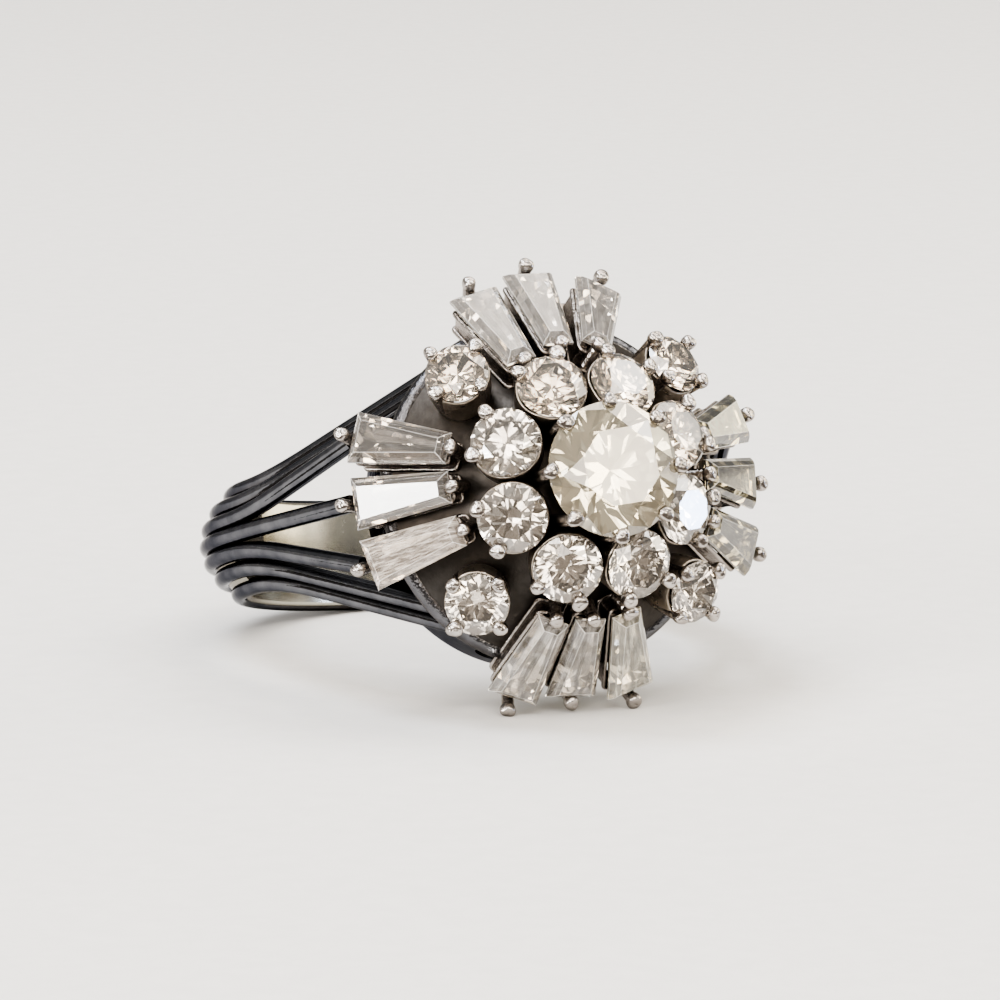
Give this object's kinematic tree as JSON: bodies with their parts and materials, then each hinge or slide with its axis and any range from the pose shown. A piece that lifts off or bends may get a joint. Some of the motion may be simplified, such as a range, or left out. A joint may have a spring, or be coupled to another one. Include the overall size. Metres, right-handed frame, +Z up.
{
  "type": "rhinestone ring",
  "caption": "Domed cluster finger ring: round stones between fans of tapered baguettes in an open white-metal mount, on a shank of side-by-side wires",
  "frame": {"origin": "middle of the ring's footprint at the surface it rests on", "axes": "-Y the way the head faces, +Y towards the back of the shank, +X to the head's right, +Z up; the ring lies as it comes to rest by itself"},
  "size_m": [0.0206, 0.0284, 0.0167],
  "materials": {
    "white_metal": "polished white metal, dark in the recesses",
    "centre_stone": "polished facets, faintly warm",
    "round_stone": "polished facets",
    "baguette_stone": "polished step-cut facets"
  },
  "bodies": {
    "root": {"mount_metal": "white_metal", "centre_stone": "centre_stone", "inner_stone_1": "round_stone", "inner_stone_2": "round_stone", "inner_stone_3": "round_stone", "inner_stone_4": "round_stone", "inner_stone_5": "round_stone", "inner_stone_6": "round_stone", "inner_stone_7": "round_stone", "inner_stone_8": "round_stone", "corner_stone_1": "round_stone", "corner_stone_2": "round_stone", "corner_stone_3": "round_stone", "corner_stone_4": "round_stone", "baguette_east_1": "baguette_stone", "baguette_east_2": "baguette_stone", "baguette_east_3": "baguette_stone", "baguette_north_1": "baguette_stone", "baguette_north_2": "baguette_stone", "baguette_north_3": "baguette_stone", "baguette_west_1": "baguette_stone", "baguette_west_2": "baguette_stone", "baguette_west_3": "baguette_stone", "baguette_south_1": "baguette_stone", "baguette_south_2": "baguette_stone", "baguette_south_3": "baguette_stone"}
  },
  "joints": []
}
